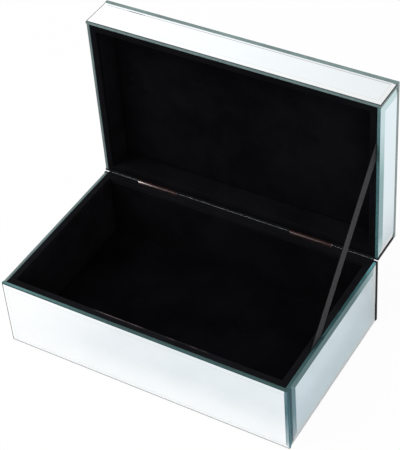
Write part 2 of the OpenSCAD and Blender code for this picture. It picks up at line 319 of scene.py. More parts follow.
def velvet_material(name, colour, sheen=0.01, gloss=0.0, lint=True, wear_and_sheen=None):
    """Cut-pile cloth: near black, with leaning pile in patches and single hairs that catch light.

    The fold colour, worn pile with painted sheen glints, shows as far as the piece's fold attribute
    says."""
    n = Nodes(name)
    n.set(Roughness=0.95, Sheen_Weight=sheen, Sheen_Roughness=0.42, Specular_IOR_Level=gloss)
    n.shader.inputs["Sheen Tint"].default_value = (0.86, 0.84, 0.9, 1)
    patches = n.noise(26, 3, 0.6)
    pile = n.noise(1500, 3, 0.7)
    base = n.ramp(patches, [(0.35, scaled(colour, 0.72)), (0.65, scaled(colour, 1.3))])
    fine = n.ramp(pile, [(0.35, 0.55), (0.7, 1.0)])
    shown = n.product(base, fine)
    if lint:
        specks = n.node("TexVoronoi")
        specks.inputs["Scale"].default_value = 95
        specks.inputs["Randomness"].default_value = 1.0
        n.link(n.mapped((1, 1, 1)), specks.inputs["Vector"])
        near = n.math("LESS_THAN", specks.outputs["Distance"], 0.035)
        rare = n.math("GREATER_THAN", n.noise(37, 1, 0.5), 0.66)
        shown = n.mix(n.times(near, rare), shown, scaled(colour, 9))
    if wear_and_sheen:
        fold = n.node("Attribute", attribute_name="fold")
        fibres = n.ramp(n.noise(900, 2, 0.6), [(0.35, 0.45), (0.6, 1.0)])
        shown = n.mix(n.times(fibres, fold.outputs["Fac"]), shown, wear_and_sheen)
    n.use("Base Color", shown)
    low = n.bump(n.noise(60, 4, 0.6), 0.25, 0.0006)
    n.use("Normal", n.bump(pile, 0.5, 0.0003, low))
    return n.mat


def speckled_material(name, low, high, scale, rough, bump=0.2, metallic=0.0, gloss=0.5):
    """A plain stuff whose colour and surface vary at one scale, such as board, paint or foam."""
    n = Nodes(name)
    n.set(Metallic=metallic, Specular_IOR_Level=gloss)
    grain = n.noise(scale, 6, 0.65)
    n.use("Base Color", n.ramp(grain, [(0.32, low), (0.68, high)]))
    patches = n.noise(scale * 0.4, 4, 0.6)
    n.use("Roughness", n.ramp(patches, [(0.3, rough * 0.8), (0.7, rough * 1.15)]))
    n.use("Normal", n.bump(grain, bump, 0.0003))
    return n.mat


def hinge_material(name, mirrored_shade, highlight, highlight_along, clean):
    """Copper darkened on the front of the barrels as painted shade, for the dark velvet they
    mirror, with a painted highlight line along them, and plain copper at their back.

    The list of places holds places along X in metres with the share of the highlight's colour
    there."""
    n = Nodes(name)
    n.set(Metallic=0.35, Specular_IOR_Level=0.12)
    place = n.axes()
    y, z = n.minus(place["Y"], HINGE_Y), n.minus(place["Z"], HINGE_Z)
    facing = math.radians(HIGHLIGHT_DEG)
    towards = n.plus(n.times(y, math.cos(facing)), n.times(z, math.sin(facing)))
    uneven = n.plus(towards, n.times(n.noise(300, 3, 0.6), HIGHLIGHT_UNEVEN))
    line = n.fade(uneven, BARREL_R * math.cos(math.radians(HIGHLIGHT_HALF_DEG)), BARREL_R)
    grain = n.noise(240, 6, 0.65)
    dark = n.ramp(grain, [(0.32, scaled(mirrored_shade, 0.55)), (0.68, scaled(mirrored_shade, 1.35))])
    share = n.graded("X", [(x, (k,) * 3) for x, k in highlight_along], 0.003, 200)
    shine = n.product(share, n.ramp(grain, [(0.3, scaled(highlight, 0.8)), (0.7, highlight)]))
    behind = n.fade(n.minus(y, z), 0.0, 0.4 * BARREL_R)
    plating = n.ramp(grain, [(0.3, scaled(clean, 0.8)), (0.7, clean)])
    n.use("Base Color", n.mix(behind, n.mix(line, dark, shine), plating))
    n.use("Roughness", n.ramp(n.noise(90, 4, 0.6), [(0.3, 0.26), (0.7, 0.42)]))
    n.use("Normal", n.bump(grain, 0.12, 0.0003))
    return n.mat


def ribbon_material(name):
    """Woven ribbon: fine ribs across its width, thicker selvedges. U runs along it, V across."""
    n = Nodes(name)
    n.set(Roughness=0.66, Sheen_Weight=0.09, Sheen_Roughness=0.4, Specular_IOR_Level=0.15)
    n.shader.inputs["Sheen Tint"].default_value = (0.9, 0.9, 0.95, 1)
    uv = n.axes("UV")
    ribs = n.math("ABSOLUTE", n.math("SINE", n.times(uv["X"], math.pi * RIBBON_RIBS)))
    warp = n.math("ABSOLUTE", n.math("SINE", n.times(uv["Y"], math.pi * RIBBON_WARPS)))
    weave = n.times(ribs, n.plus(n.times(warp, 0.35), 0.65))
    from_middle = n.math("ABSOLUTE", n.minus(uv["Y"], 0.5))
    selvedge = n.math("GREATER_THAN", from_middle, 0.44)
    cloth = n.ramp(weave, [(0.0, (0.008, 0.008, 0.0095)), (1.0, (0.020, 0.020, 0.0225))])
    n.use("Base Color", n.mix(selvedge, cloth, (0.027, 0.027, 0.0295)))
    n.use("Normal", n.bump(weave, 0.4, 0.0002))
    return n.mat


# ---------------------------------------------------------------- materials

# Stretches of the noise for streaks that run front to back, and up and down
ALONG_Y, ALONG_Z = (1, 0.03, 1), (1, 1, 0.03)

# The flat faces, and the bevels that mirror something bright. The faces' tints differ from panel to
# panel as painted reflection and shade: the darker, bluer side and lid side tints stand for the
# shaded floor they mirror, and the foot bevel takes the side tint.
FRONT_MIRROR = mirror_material("mirror_face", (0.955, 0.975, 0.98))
SIDE_MIRROR = mirror_material("mirror_face_side", (0.81, 0.94, 1.0))
LEFT_MIRROR = mirror_material("mirror_face_left", (0.89, 0.95, 0.97))
LID_FRONT_MIRROR = mirror_material("mirror_face_lid", (0.93, 0.975, 0.995))
LID_SIDE_MIRROR = mirror_material("mirror_face_lid_side", (0.745, 0.85, 0.90))
TOP_MIRROR = mirror_material("mirror_face_top", (0.93, 0.96, 0.97))
LIGHT_BEVEL = mirror_material("bevel_light", (0.96, 0.98, 0.985), rough=0.02, wave=0.0)
FOOT_BEVEL = mirror_material("bevel_foot", (0.93, 0.985, 1.0), rough=0.02, wave=0.0)

# The bevels and ground bands at the rims and the front corners: their dark tints, graded along an
# axis, are painted reflection and shade for the dark things they would mirror
RIM_BEVEL = graded_mirror(
    "bevel_rim", "Y",
    [
        (0.035, (0.068, 0.185, 0.195)), (0.058, (0.26, 0.43, 0.46)),
        (0.067, (0.40, 0.55, 0.57)), (0.073, (0.95, 0.98, 0.98)),
    ],
    rough=0.05, streaks=ALONG_Y,
)
RIM_BAND = mirror_material("bevel_band", (0.030, 0.085, 0.087), rough=0.05, wave=0.0)
SIDE_RIM_BAND = mirror_material("bevel_band_side", (0.050, 0.130, 0.136), rough=0.05, wave=0.0)
LID_RIM_BEVEL = graded_mirror(
    "bevel_lid_rim", "Z",
    [
        (0.075, (0.40, 0.58, 0.60)), (0.088, (0.21, 0.345, 0.37)),
        (0.145, (0.21, 0.37, 0.38)), (0.190, (0.50, 0.66, 0.68)),
    ],
)
FRONT_CORNER = graded_mirror(
    "bevel_front_corner", "Z",
    [
        (0.002, (0.72, 0.80, 0.82)), (0.008, (0.42, 0.54, 0.58)), (0.024, (0.32, 0.45, 0.49)),
        (0.042, (0.10, 0.205, 0.235)), (0.06, (0.15, 0.26, 0.295)),
    ],
    rough=0.04, streaks=ALONG_Z,
)
SIDE_CORNER = graded_mirror(
    "bevel_side_corner", "Z",
    [
        (0.002, (0.75, 0.82, 0.84)), (0.014, (0.44, 0.60, 0.66)),
        (0.030, (0.18, 0.36, 0.41)), (0.055, (0.13, 0.27, 0.31)),
    ],
    rough=0.04, streaks=ALONG_Z,
)
CORNER_BAND = graded_mirror(
    "bevel_corner_band", "Z",
    [
        (0.002, (0.40, 0.48, 0.50)), (0.014, (0.12, 0.21, 0.23)),
        (0.030, (0.09, 0.17, 0.185)), (0.06, (0.058, 0.122, 0.138)),
    ],
    rough=0.06, streaks=ALONG_Z, aslant=(0.62, 0.68, 0.70),
)

# The polished chamfer at the back of the top mirror's edge, its tint darkening along X as painted
# shade
TOP_CHAMFER = graded_mirror(
    "bevel_top_chamfer", "X",
    [(-0.02, (0.96, 0.98, 0.985)), (0.05, (0.45, 0.52, 0.52)), (0.10, (0.17, 0.24, 0.24))],
    rough=0.03,
)

# The fine line beside the lid's top edge, a painted shadow line at the joint with the top glass,
# with a dark stretch of painted shade near its left end
SEAM_GREY, SEAM_DARK = (0.56, 0.55, 0.57), (0.03, 0.02, 0.02)
SEAM = graded_mirror(
    "seam", "X",
    [(-0.104, SEAM_GREY), (-0.099, SEAM_DARK), (-0.089, SEAM_DARK), (-0.085, SEAM_GREY)],
    rough=0.2,
)

# The ridges where bevels meet the faces, and the line round the outside of a front panel; their
# grey and dark tints are painted shade lines, the outline standing for the thin shadow line round
# the panel
RIDGE = mirror_material("bevel_ridge", (0.62, 0.60, 0.64), rough=0.2, wave=0.0)
DARK_RIDGE = mirror_material("bevel_ridge_dark", (0.05, 0.09, 0.10), rough=0.2, wave=0.0)
OUTLINE = mirror_material("bevel_outline", (0.075, 0.072, 0.077), rough=0.25, wave=0.0)

# Ground edges, and the arrises between an edge and a face. The edges' colours from panel to panel,
# and their grading along an axis, are painted light and shade
EDGE_DARK = edge_material(
    "edge_dark", (0.042, 0.113, 0.122), rough=0.3, gloss=0.15, axis="Y",
    stops=[(0.03, 0.85), (0.055, 1.7), (0.070, 4.0)],
)
EDGE_LID_SIDE = edge_material("edge_lid_side", (0.066, 0.168, 0.176))
EDGE_TEAL = edge_material(
    "edge_teal", (0.088, 0.20, 0.20), rough=0.3, gloss=0.10, axis="X",
    stops=[(-0.11, 1.25), (-0.085, 0.98), (-0.03, 0.47), (0.125, 0.47)],
)
EDGE_CORNER = edge_material(
    "edge_corner", (0.088, 0.192, 0.222), rough=0.3, gloss=0.0, axis="Z",
    stops=[(0.003, 2.0), (0.030, 1.45), (0.06, 1.0)],
)
EDGE_LEFT = edge_material("edge_left", (0.12, 0.18, 0.175), rough=0.3, gloss=0.2)
EDGE_PALE = edge_material("edge_pale", (0.145, 0.22, 0.215), rough=0.3, gloss=0.2)
ARRIS = edge_material("arris", (0.055, 0.108, 0.118), rough=0.45, gloss=0.02)
BACKING = speckled_material(
    "mirror_backing", (0.20, 0.21, 0.22), (0.26, 0.27, 0.28), scale=90, rough=0.7
)

# Lighter and darker copies of one black velvet, and the edging's paler grey: painted light and
# shade
VELVET = velvet_material("velvet_lining", (0.0041, 0.0040, 0.0051))
WALL_VELVET = velvet_material("velvet_wall", (0.0078, 0.0077, 0.0095))
LEFT_WALL_VELVET = velvet_material("velvet_left_wall", (0.0145, 0.0143, 0.0176))
LID_VELVET = velvet_material("velvet_lid", (0.0072, 0.0071, 0.0088))
RIM_VELVET = velvet_material(
    "velvet_rim", (0.0076, 0.0078, 0.0098),
    sheen=0.03, gloss=0.04, lint=False, wear_and_sheen=(0.15, 0.115, 0.118),
)
LID_RIM_VELVET = velvet_material(
    "velvet_lid_rim", (0.0060, 0.0060, 0.0075), sheen=0.015, gloss=0.02, lint=False
)
EDGING = velvet_material(
    "velvet_edging", (0.032, 0.031, 0.034), sheen=0.05, gloss=0.05, lint=False
)
FELT = velvet_material("felt", (0.018, 0.018, 0.02), sheen=0.2, gloss=0.1, lint=False)

BLACK_PAINT = speckled_material(
    "black_paint", (0.006, 0.007, 0.008), (0.014, 0.016, 0.018),
    scale=300, rough=0.55, gloss=0.2,
)
FIBREBOARD = speckled_material(
    "fibreboard", (0.20, 0.125, 0.07), (0.36, 0.24, 0.145), scale=420, rough=0.85
)
FOAM = speckled_material(
    "foam_tape", (0.62, 0.62, 0.60), (0.78, 0.78, 0.76), scale=1100, rough=0.8, bump=0.5
)
# The dark copper is painted shade and the bright line a painted highlight, strongest far left
COPPER = hinge_material(
    "copper", mirrored_shade=(0.040, 0.019, 0.018), highlight=(0.88, 0.80, 0.78), clean=(0.46, 0.22, 0.14),
    highlight_along=[
        (-0.092, 1.0), (-0.083, 0.36), (-0.072, 0.09), (-0.060, 0.05),
        (0.049, 0.15), (0.072, 0.09), (0.078, 0.04),
    ],
)
SCREW_METAL = speckled_material(
    "screw_metal", (0.52, 0.33, 0.2), (0.78, 0.52, 0.36),
    scale=320, rough=0.3, bump=0.1, metallic=1.0,
)
RIBBON = ribbon_material("ribbon")

# ---------------------------------------------------------------- mesh tools


def add_piece(name, verts, faces, mats, face_mats=None, smooth=False, to=None):
    mesh = bpy.data.meshes.new(name)
    mesh.from_pydata([tuple(v) for v in verts], [], faces)
    for m in mats:
        mesh.materials.append(m)
    if face_mats:
        mesh.polygons.foreach_set("material_index", face_mats)
    mesh.polygons.foreach_set("use_smooth", [smooth] * len(mesh.polygons))
    if to is not None:
        mesh.transform(to)
    mesh.validate()
    mesh.update()
    obj = bpy.data.objects.new(name, mesh)
    bpy.context.scene.collection.objects.link(obj)
    return obj


def seat(obj, body, slot, *nodes):
    """The piece rides on the body and stands for the nodes, which it hides. slot is not used."""
    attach(obj, body)
    if nodes:
        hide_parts(*nodes)
    return obj


def along(box, axis):
    """Lowest and highest reach of a box along a signed axis."""
    a = [sum(c * x for c, x in zip(corner, axis)) for corner in box]
    return min(a), max(a)


# ---------------------------------------------------------------- mirror glass

# How much lower than the face a bevel's edge is
SIDE_DROP = 0.5 * MM
TOP_DROP = 0.8 * MM
# Widths of the bevels
FRONT_W = 4.5 * MM
SIDE_W = 7 * MM
TOP_W = 12 * MM
FRONT_CORNER_W = 2.7 * MM
SIDE_CORNER_W = 9 * MM
# Widths of the strips in them
RIDGE_W = 0.16 * MM
BAND_W = 1.2 * MM
SIDE_BAND_W = 1.0 * MM
CORNER_BAND_W = 4.0 * MM
OUTLINE_W = 0.95 * MM
ARRIS_W = 0.25 * MM
SEAM_IN = 1.4 * MM
SEAM_W = 0.8 * MM
TOP_CHAMFER_INSET = 0.4 * MM
TOP_CHAMFER_H = 1.2 * MM


def bevel(width, material, ridge, band=None, band_w=BAND_W):
    """A ground bevel: True, as its edge is lowered, and its strips from the edge inwards.

    The ridge is where it meets the flat face, and the band is a strip along its outer edge."""
    strips = [(width - RIDGE_W, material), (RIDGE_W, ridge)]
    if band:
        strips = [(band_w, band), (width - RIDGE_W - band_w, material), (RIDGE_W, ridge)]
    return True, strips


PLAIN = (False, [])  # no bevel: the edge isn't lowered and has no strips


def even_strips(strips, count):
    """The same strips as count strips, with the widest one split."""
    strips = list(strips)
    widest = max(range(len(strips)), key=lambda i: strips[i][0])
    extra = count - len(strips)
    width, material = strips[widest]
    return strips[:widest] + [(width / (extra + 1), material)] * (extra + 1) + strips[widest + 1 :]


def glass_panel(node, body, out, u, v, drop, sides, face, edge, chamfer_at=None):
    """A mirror panel in the node's own box: flat face, bevels, ground edges and chamfered arrises.

    out, u and v are the panel's outward, width and height directions. sides holds the strips of
    its -u, +u, -v and +v sides, each with whether its edge is ground lower by drop, or PLAIN
    where the face runs on to the edge. edge is the material of all four ground edges, or a list
    of one for each side. chamfer_at is the side with a polished chamfer at the back, if any."""
    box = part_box(node)
    (t0, t1), (u0, u1), (v0, v1) = along(box, out), along(box, u), along(box, v)
    out, u, v = Vector(out), Vector(u), Vector(v)
    thick = t1 - t0
    edges = edge if isinstance(edge, list) else [edge] * 4
    materials = [face, ARRIS, BACKING]
    flat, chamfer, back = range(3)
    materials += [m for i, m in enumerate(edges) if m not in edges[:i]]
    insets, heights, chamfers = [ARRIS_W] * 4, [ARRIS_W] * 4, [chamfer] * 4
    if chamfer_at is not None:
        insets[chamfer_at], heights[chamfer_at] = TOP_CHAMFER_INSET, TOP_CHAMFER_H
        chamfers[chamfer_at] = len(materials)
        materials.append(TOP_CHAMFER)
    count = max(len(strips) for _, strips in sides)
    lowered = [low for low, _ in sides]
    sides = [even_strips(strips or [(0.0, m)], count) for (_, strips), m in zip(sides, edges)]
    for strips in sides:
        materials += [m for _, m in strips if m not in materials]
    widths = [sum(w for w, _ in strips) for strips in sides]

    def height(i, inset):
        return thick - drop * (1 - inset / widths[i]) if lowered[i] else thick

    # Each ring: inset from each of the four sides, height at each side, and the material inside it
    rings = [
        (insets, [0.0] * 4, chamfers),
        ([0.0] * 4, heights, [materials.index(m) for m in edges]),
        ([0.0] * 4, [height(i, 0) - ARRIS_W for i in range(4)], [chamfer] * 4),
    ]
    inset = [ARRIS_W if low else 0.0 for low in lowered]
    for k in range(count):
        inside = [materials.index(strips[k][1]) for strips in sides]
        rings.append((inset, [height(i, inset[i]) for i in range(4)], inside))
        inset = [sum(w for w, _ in strips[: k + 1]) for strips in sides]
    rings.append((widths, [thick] * 4, None))
    verts, faces, face_mats = [], [], []
    for inset, levels, _ in rings:
        # Corner order: -u-v, +u-v, +u+v, -u+v; each corner takes the lower of its two heights
        for su, sv in ((0, 2), (1, 2), (1, 3), (0, 3)):
            x = u0 + inset[0] if su == 0 else u1 - inset[1]
            y = v0 + inset[2] if sv == 2 else v1 - inset[3]
            z = t0 + min(levels[su], levels[sv])
            verts.append(u * x + v * y + out * z)
    for r in range(len(rings) - 1):
        for c, side in enumerate((2, 1, 3, 0)):
            p, q = r * 4 + c, r * 4 + (c + 1) % 4
            faces.append((p, q, q + 4, p + 4))
            face_mats.append(rings[r][2][side])
    last = (len(rings) - 1) * 4
    faces.append((last, last + 1, last + 2, last + 3))
    face_mats.append(flat)
    faces.append((3, 2, 1, 0))
    face_mats.append(back)
    obj = add_piece(node + "_glass", verts, faces, materials, face_mats)
    return seat(obj, body, "mirror_glass", node)


def repaint(obj, old, material, *beyond):
    """Give material to the part of the old one's faces that is beyond all the given planes.

    Each plane is a direction and a distance along it."""
    mesh = bmesh.new()
    mesh.from_mesh(obj.data)
    obj.data.materials.append(material)
    index = len(obj.data.materials) - 1
    old = [m.name for m in obj.data.materials].index(old.name)
    for direction, at in beyond:
        everything = mesh.verts[:] + mesh.edges[:] + mesh.faces[:]
        bmesh.ops.bisect_plane(
            mesh, geom=everything, plane_co=Vector(direction) * at, plane_no=direction
        )
    for face in mesh.faces:
        centre = face.calc_center_median()
        if face.material_index == old and all(centre.dot(Vector(d)) > at for d, at in beyond):
            face.material_index = index
    mesh.to_mesh(obj.data)
    mesh.free()


X, Y, Z = (1, 0, 0), (0, 1, 0), (0, 0, 1)
NX, NY, NZ = (-1, 0, 0), (0, -1, 0), (0, 0, -1)
front_light = bevel(FRONT_W, LIGHT_BEVEL, RIDGE, OUTLINE, OUTLINE_W)
front_corner = bevel(FRONT_CORNER_W, FRONT_CORNER, DARK_RIDGE)
front_rim = bevel(FRONT_W, LIGHT_BEVEL, RIDGE, RIM_BAND)
side_light = bevel(SIDE_W, LIGHT_BEVEL, RIDGE)
side_foot = bevel(SIDE_W, FOOT_BEVEL, RIDGE)
side_corner = bevel(SIDE_CORNER_W, SIDE_CORNER, DARK_RIDGE, CORNER_BAND, CORNER_BAND_W)
side_rim = bevel(SIDE_W, RIM_BEVEL, RIDGE, SIDE_RIM_BAND, SIDE_BAND_W)
lid_rim = bevel(SIDE_W, LID_RIM_BEVEL, RIDGE)
top_light = bevel(TOP_W, LIGHT_BEVEL, RIDGE)

base_front = glass_panel(
    "base_front_mirror", "base", NY, X, Z, SIDE_DROP,
    [front_light, front_corner, front_light, front_rim], FRONT_MIRROR,
    [EDGE_LEFT, EDGE_CORNER, EDGE_TEAL, EDGE_TEAL],
)
# The corner bevel runs on through the mitre, to the top edge
repaint(
    base_front, LIGHT_BEVEL, FRONT_CORNER,
    (X, BOX_X - FRONT_CORNER_W), (Z, BASE_H - FRONT_W - RIDGE_W),
)
glass_panel(
    "base_right_mirror", "base", X, Y, Z, SIDE_DROP,
    [side_corner, side_foot, side_foot, side_rim], SIDE_MIRROR, EDGE_DARK,
)
glass_panel(
    "base_left_mirror", "base", NX, NY, Z, SIDE_DROP,
    [side_light, side_corner, side_light, side_rim], LEFT_MIRROR, EDGE_LEFT,
)
glass_panel(
    "lid_top_mirror", "lid", Y, X, NZ, TOP_DROP,
    [top_light] * 4, TOP_MIRROR, EDGE_PALE, chamfer_at=2,
)
lid_front = glass_panel(
    "lid_front_mirror", "lid", Z, X, Y, SIDE_DROP,
    [front_light, front_light, front_light, PLAIN], LID_FRONT_MIRROR, EDGE_PALE,
)
seam_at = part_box("lid_front_mirror")[1][1] - SEAM_IN
repaint(lid_front, LID_FRONT_MIRROR, SEAM, (Y, seam_at - SEAM_W), (NY, -seam_at))
glass_panel(
    "lid_right_mirror", "lid", X, NZ, Y, SIDE_DROP,
    [lid_rim, side_light, lid_rim, PLAIN], LID_SIDE_MIRROR, EDGE_LID_SIDE,
)
glass_panel(
    "lid_left_mirror", "lid", NX, Z, Y, SIDE_DROP,
    [side_light, lid_rim, lid_rim, PLAIN], LID_SIDE_MIRROR, EDGE_LEFT,
)

# ---------------------------------------------------------------- velvet

EDGE_STEPS = 4  # steps across a cloth slab's rounded edge


def steps(low, high, count, edge):
    """Positions from low to high, crowded near both ends within edge."""
    near = [
        edge * (1 - math.cos(k / EDGE_STEPS * math.pi / 2)) for k in range(EDGE_STEPS + 1)
    ]
    inner = [edge + (high - low - 2 * edge) * k / count for k in range(1, count)]
    full = near + inner + [high - low - e for e in reversed(near)]
    return [low + s for s in full]


def soft_slab(name, box, out, u, v, mat, edge_r, cell, crown=0.0, ripple=0.0, seed=0.0):
    """A cloth-covered slab in a box: rounded edges, a crown, and a slightly uneven face.

    out is the direction of its open face, and u and v lie along it."""
    (t0, t1), (u0, u1), (v0, v1) = along(box, out), along(box, u), along(box, v)
    out_v, u_v, v_v = Vector(out), Vector(u), Vector(v)
    us = steps(u0, u1, max(2, round((u1 - u0) / cell)), edge_r)
    vs = steps(v0, v1, max(2, round((v1 - v0) / cell)), edge_r)
    verts, faces = [], []

    def edge_drop(e):
        if e >= edge_r:
            return 0.0
        return edge_r - math.sqrt(max(0.0, edge_r**2 - (edge_r - e) ** 2))

    for y in vs:
        for x in us:
            ex, ey = min(x - u0, u1 - x), min(y - v0, v1 - y)
            side_x, side_y = 2 * (x - u0) / (u1 - u0) - 1, 2 * (y - v0) / (v1 - v0) - 1
            bow = (1 - side_x**4) * (1 - side_y**4)
            at = Vector((x, y, seed))
            swell = noise.noise(at * 45) + 0.5 * noise.noise(at * 120)
            drop = min(edge_r, edge_drop(ex) + edge_drop(ey))
            z = t1 - drop + bow * (crown + ripple * swell)
            verts.append(u_v * x + v_v * y + out_v * z)
    nu, nv = len(us), len(vs)
    for j in range(nv - 1):
        for i in range(nu - 1):
            p = j * nu + i
            faces.append((p, p + 1, p + nu + 1, p + nu))
    border = (
        list(range(nu))
        + [j * nu + nu - 1 for j in range(1, nv)]
        + [(nv - 1) * nu + i for i in range(nu - 2, -1, -1)]
        + [j * nu for j in range(nv - 2, 0, -1)]
    )
    base = len(verts)
    for b in border:
        p = verts[b]
        verts.append(p - out_v * (p.dot(out_v) - t0))
    m = len(border)
    for k in range(m):
        a, b = border[k], border[(k + 1) % m]
        faces.append((b, a, base + k, base + (k + 1) % m))
    faces.append(tuple(base + k for k in range(m - 1, -1, -1)))
    obj = add_piece(name, verts, faces, [mat], smooth=True)
    obj.data.polygons[len(obj.data.polygons) - 1].use_smooth = False
    return obj


def node_box(node, low=(0, 0, 0), high=(0, 0, 0)):
    """A node's box with its lowest and highest corner moved, in millimetres."""
    a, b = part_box(node)
    return a + Vector(low) * MM, b + Vector(high) * MM


RIM_LEG = 3.0  # mm that the rim velvet reaches down the inside of a wall
LINING_DOWN = RIM_LEG - 0.7  # mm below the rim where a wall's own velvet starts, under that leg
# Where the front rim's fold shows worn pile with painted sheen glints: places in mm with how much
FOLD_WEAR_AND_SHEEN = (
    (-46, 0.0), (-40, 0.45), (-32, 1.0), (-20, 0.85), (-15, 0.4), (-8, 0.95), (-2, 0.5), (2, 0.05),
    (18, 0.05), (24, 0.6), (29, 0.1), (36, 0.1), (44, 0.55), (48, 0.1), (52, 0.45), (57, 0.0),
)

floor_pad = soft_slab(
    "floor_pad", node_box("base_floor_pad"), Z, X, Y, VELVET,
    edge_r=1.4 * MM, crown=0.25 * MM, ripple=0.12 * MM, cell=4 * MM, seed=1.3,
)
seat(floor_pad, "base", "velvet", "base_floor_pad")
lid_pad = soft_slab(
    "lid_cushion", node_box("lid_pad"), NY, X, Z, LID_VELVET,
    edge_r=1.2 * MM, crown=0.2 * MM, ripple=0.12 * MM, cell=4 * MM, seed=5.1,
)
seat(lid_pad, "lid", "velvet", "lid_pad")

# The walls' velvet, with the directions out, u and v of each
WALLS = {
    "base_front_lining": (Y, NX, Z),
    "base_back_lining": (NY, X, Z),
    "base_left_lining": (X, Y, Z),
    "base_right_lining": (NX, NY, Z),
    "lid_front_lining": (NZ, NX, Y),
    "lid_back_lining": (Z, X, Y),
    "lid_left_lining": (X, NZ, Y),
    "lid_right_lining": (NX, Z, Y),
}
for k, (node, (out, u, v)) in enumerate(WALLS.items()):
    if node.startswith("base"):
        body, box = "base", node_box(node, high=(0, 0, -LINING_DOWN))
    else:
        body, box = "lid", node_box(node, low=(0, LINING_DOWN, 0))
    wall = soft_slab(
        node + "_velvet", box, out, u, v, LEFT_WALL_VELVET if "left" in node else WALL_VELVET,
        edge_r=0.35 * MM, ripple=0.05 * MM, cell=5 * MM, seed=11.0 + k,
    )
    seat(wall, body, "velvet", node)

RIM_CLOTH_T = 0.46 * MM
# Points of the rim cloth's profile that the pile makes uneven, and those round its inner fold
UNEVEN_POINTS = range(4, 12)
FOLD_POINTS = range(7, 13)


def rim_profile(width):
    """Points round the cloth on a rim, as inset and height, from the glass over to the inside."""
    r = 0.9 * MM
    proud = 0.06 * MM
    leg = RIM_LEG * MM
    pts = [(0.05 * MM, -RIM_CLOTH_T), (0.05 * MM, -0.28 * MM)]
    pts += [(0.25 * MM, -0.09 * MM), (0.7 * MM, 0.0)]
    pts += [(width * f, proud * math.sin(math.pi * f)) for f in (0.3, 0.5, 0.7)]
    for k in range(7):
        t = math.radians(90 * k / 6)
        pts.append((width - r + r * math.sin(t), -r + r * math.cos(t)))
    pts += [(width + 0.03 * MM, -0.5 * leg), (width, -leg)]
    pts += [(width - 0.5 * MM, -leg), (width - 0.55 * MM, -RIM_CLOTH_T)]
    return pts


def wear_and_sheen_at(x):
    """How much worn pile and painted sheen glint the fold shows at x in metres."""
    for (x0, w0), (x1, w1) in zip(FOLD_WEAR_AND_SHEEN, FOLD_WEAR_AND_SHEEN[1:]):
        if x0 <= x / MM <= x1:
            return w0 + (w1 - w0) * (x / MM - x0) / (x1 - x0)
    return 0.0


def corners(x, front, back):
    """A rectangle's corners, from the front left, so that its first side is the front."""
    return [Vector(c) for c in ((-x, front), (x, front), (x, back), (-x, back))]


def rim_wrap(name, node, body, mat, seed, up, to=None):
    """The cloth over a rim, in the shut box's frame. up is 1 on the base and -1 on the lid."""
    top = BASE_H if up > 0 else BASE_H + RIM_GAP
    outer = corners(GLASS_IN_X, GLASS_IN_Y, BOARD_BACK_Y)
    inner = corners(LINING_X, LINING_FRONT_Y, LINING_BACK_Y)
    cell = 2.5 * MM
    width = GLASS_IN_X - LINING_X
    profile = rim_profile(width)
    count = len(profile)
    verts, faces, fold = [], [], []
    for side in range(4):
        o0, o1 = outer[side], outer[(side + 1) % 4]
        i0, i1 = inner[side], inner[(side + 1) % 4]
        n = round((o1 - o0).length / cell)
        for k in range(n):
            f = k / n
            o, i = o0.lerp(o1, f), i0.lerp(i1, f)
            for p, (inset, height) in enumerate(profile):
                at = o.lerp(i, inset / width)
                swell = noise.noise(Vector((at.x * 90, at.y * 90, seed))) * 0.05 * MM
                z = top + up * (height + (swell if p in UNEVEN_POINTS else 0.0))
                verts.append((at.x, at.y, z))
                fold.append(wear_and_sheen_at(at.x) if side == 0 and p in FOLD_POINTS else 0.0)
    loops = len(verts) // count
    for k in range(loops):
        for p in range(count):
            a, b = k * count + p, k * count + (p + 1) % count
            c, d = ((k + 1) % loops) * count + (p + 1) % count, ((k + 1) % loops) * count + p
            faces.append((a, b, c, d) if up < 0 else (d, c, b, a))
    obj = add_piece(name, verts, faces, [mat], smooth=True, to=to)
    attribute = obj.data.attributes.new("fold", "FLOAT", "POINT")
    attribute.data.foreach_set("value", fold)
    return seat(obj, body, "velvet", node)


rim_wrap("base_rim_wrap", "base_rim_velvet", "base", RIM_VELVET, seed=2.0, up=1)
rim_wrap(
    "lid_rim_wrap", "lid_rim_velvet", "lid", LID_RIM_VELVET, seed=7.0, up=-1, to=TO_OPEN
)

EDGING_END = GLASS_IN_X - 0.5 * MM
HINGE_ROOM = 0.4 * MM  # between a run of edging and a hinge's end
BEAD_POINTS = 10


